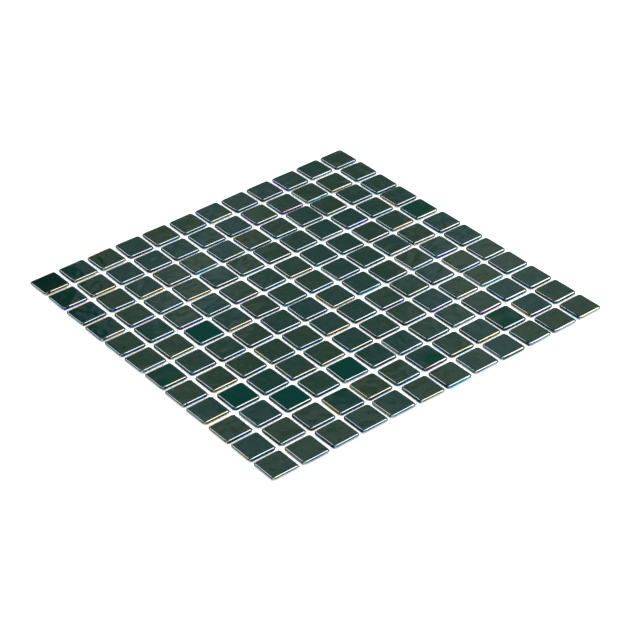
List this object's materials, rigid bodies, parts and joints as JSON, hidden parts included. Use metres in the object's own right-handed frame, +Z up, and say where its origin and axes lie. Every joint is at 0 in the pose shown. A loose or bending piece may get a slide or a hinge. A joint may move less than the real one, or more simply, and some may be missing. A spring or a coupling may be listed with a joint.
{
  "type": "mosaic tile sheet",
  "caption": "Square sheet of small square glass tiles with rounded edges, set in even rows on an open backing mesh of glass-fibre threads.",
  "frame": {"origin": "under the middle of the sheet, on the surface it lies on", "axes": "+Z up out of the tile faces, X along a row of tiles, Y from row to row"},
  "size_m": [0.3316, 0.3318, 0.0045],
  "materials": {
    "tile_glass": "glossy",
    "mesh_fibre": "matt"
  },
  "bodies": {
    "root": {"mesh_threads_lower": "mesh_fibre", "mesh_threads_upper": "mesh_fibre", "tile_row_01": "tile_glass", "tile_row_02": "tile_glass", "tile_row_03": "tile_glass", "tile_row_04": "tile_glass", "tile_row_05": "tile_glass", "tile_row_06": "tile_glass", "tile_row_07": "tile_glass", "tile_row_08": "tile_glass", "tile_row_09": "tile_glass", "tile_row_10": "tile_glass", "tile_row_11": "tile_glass", "tile_row_12": "tile_glass"}
  },
  "joints": []
}
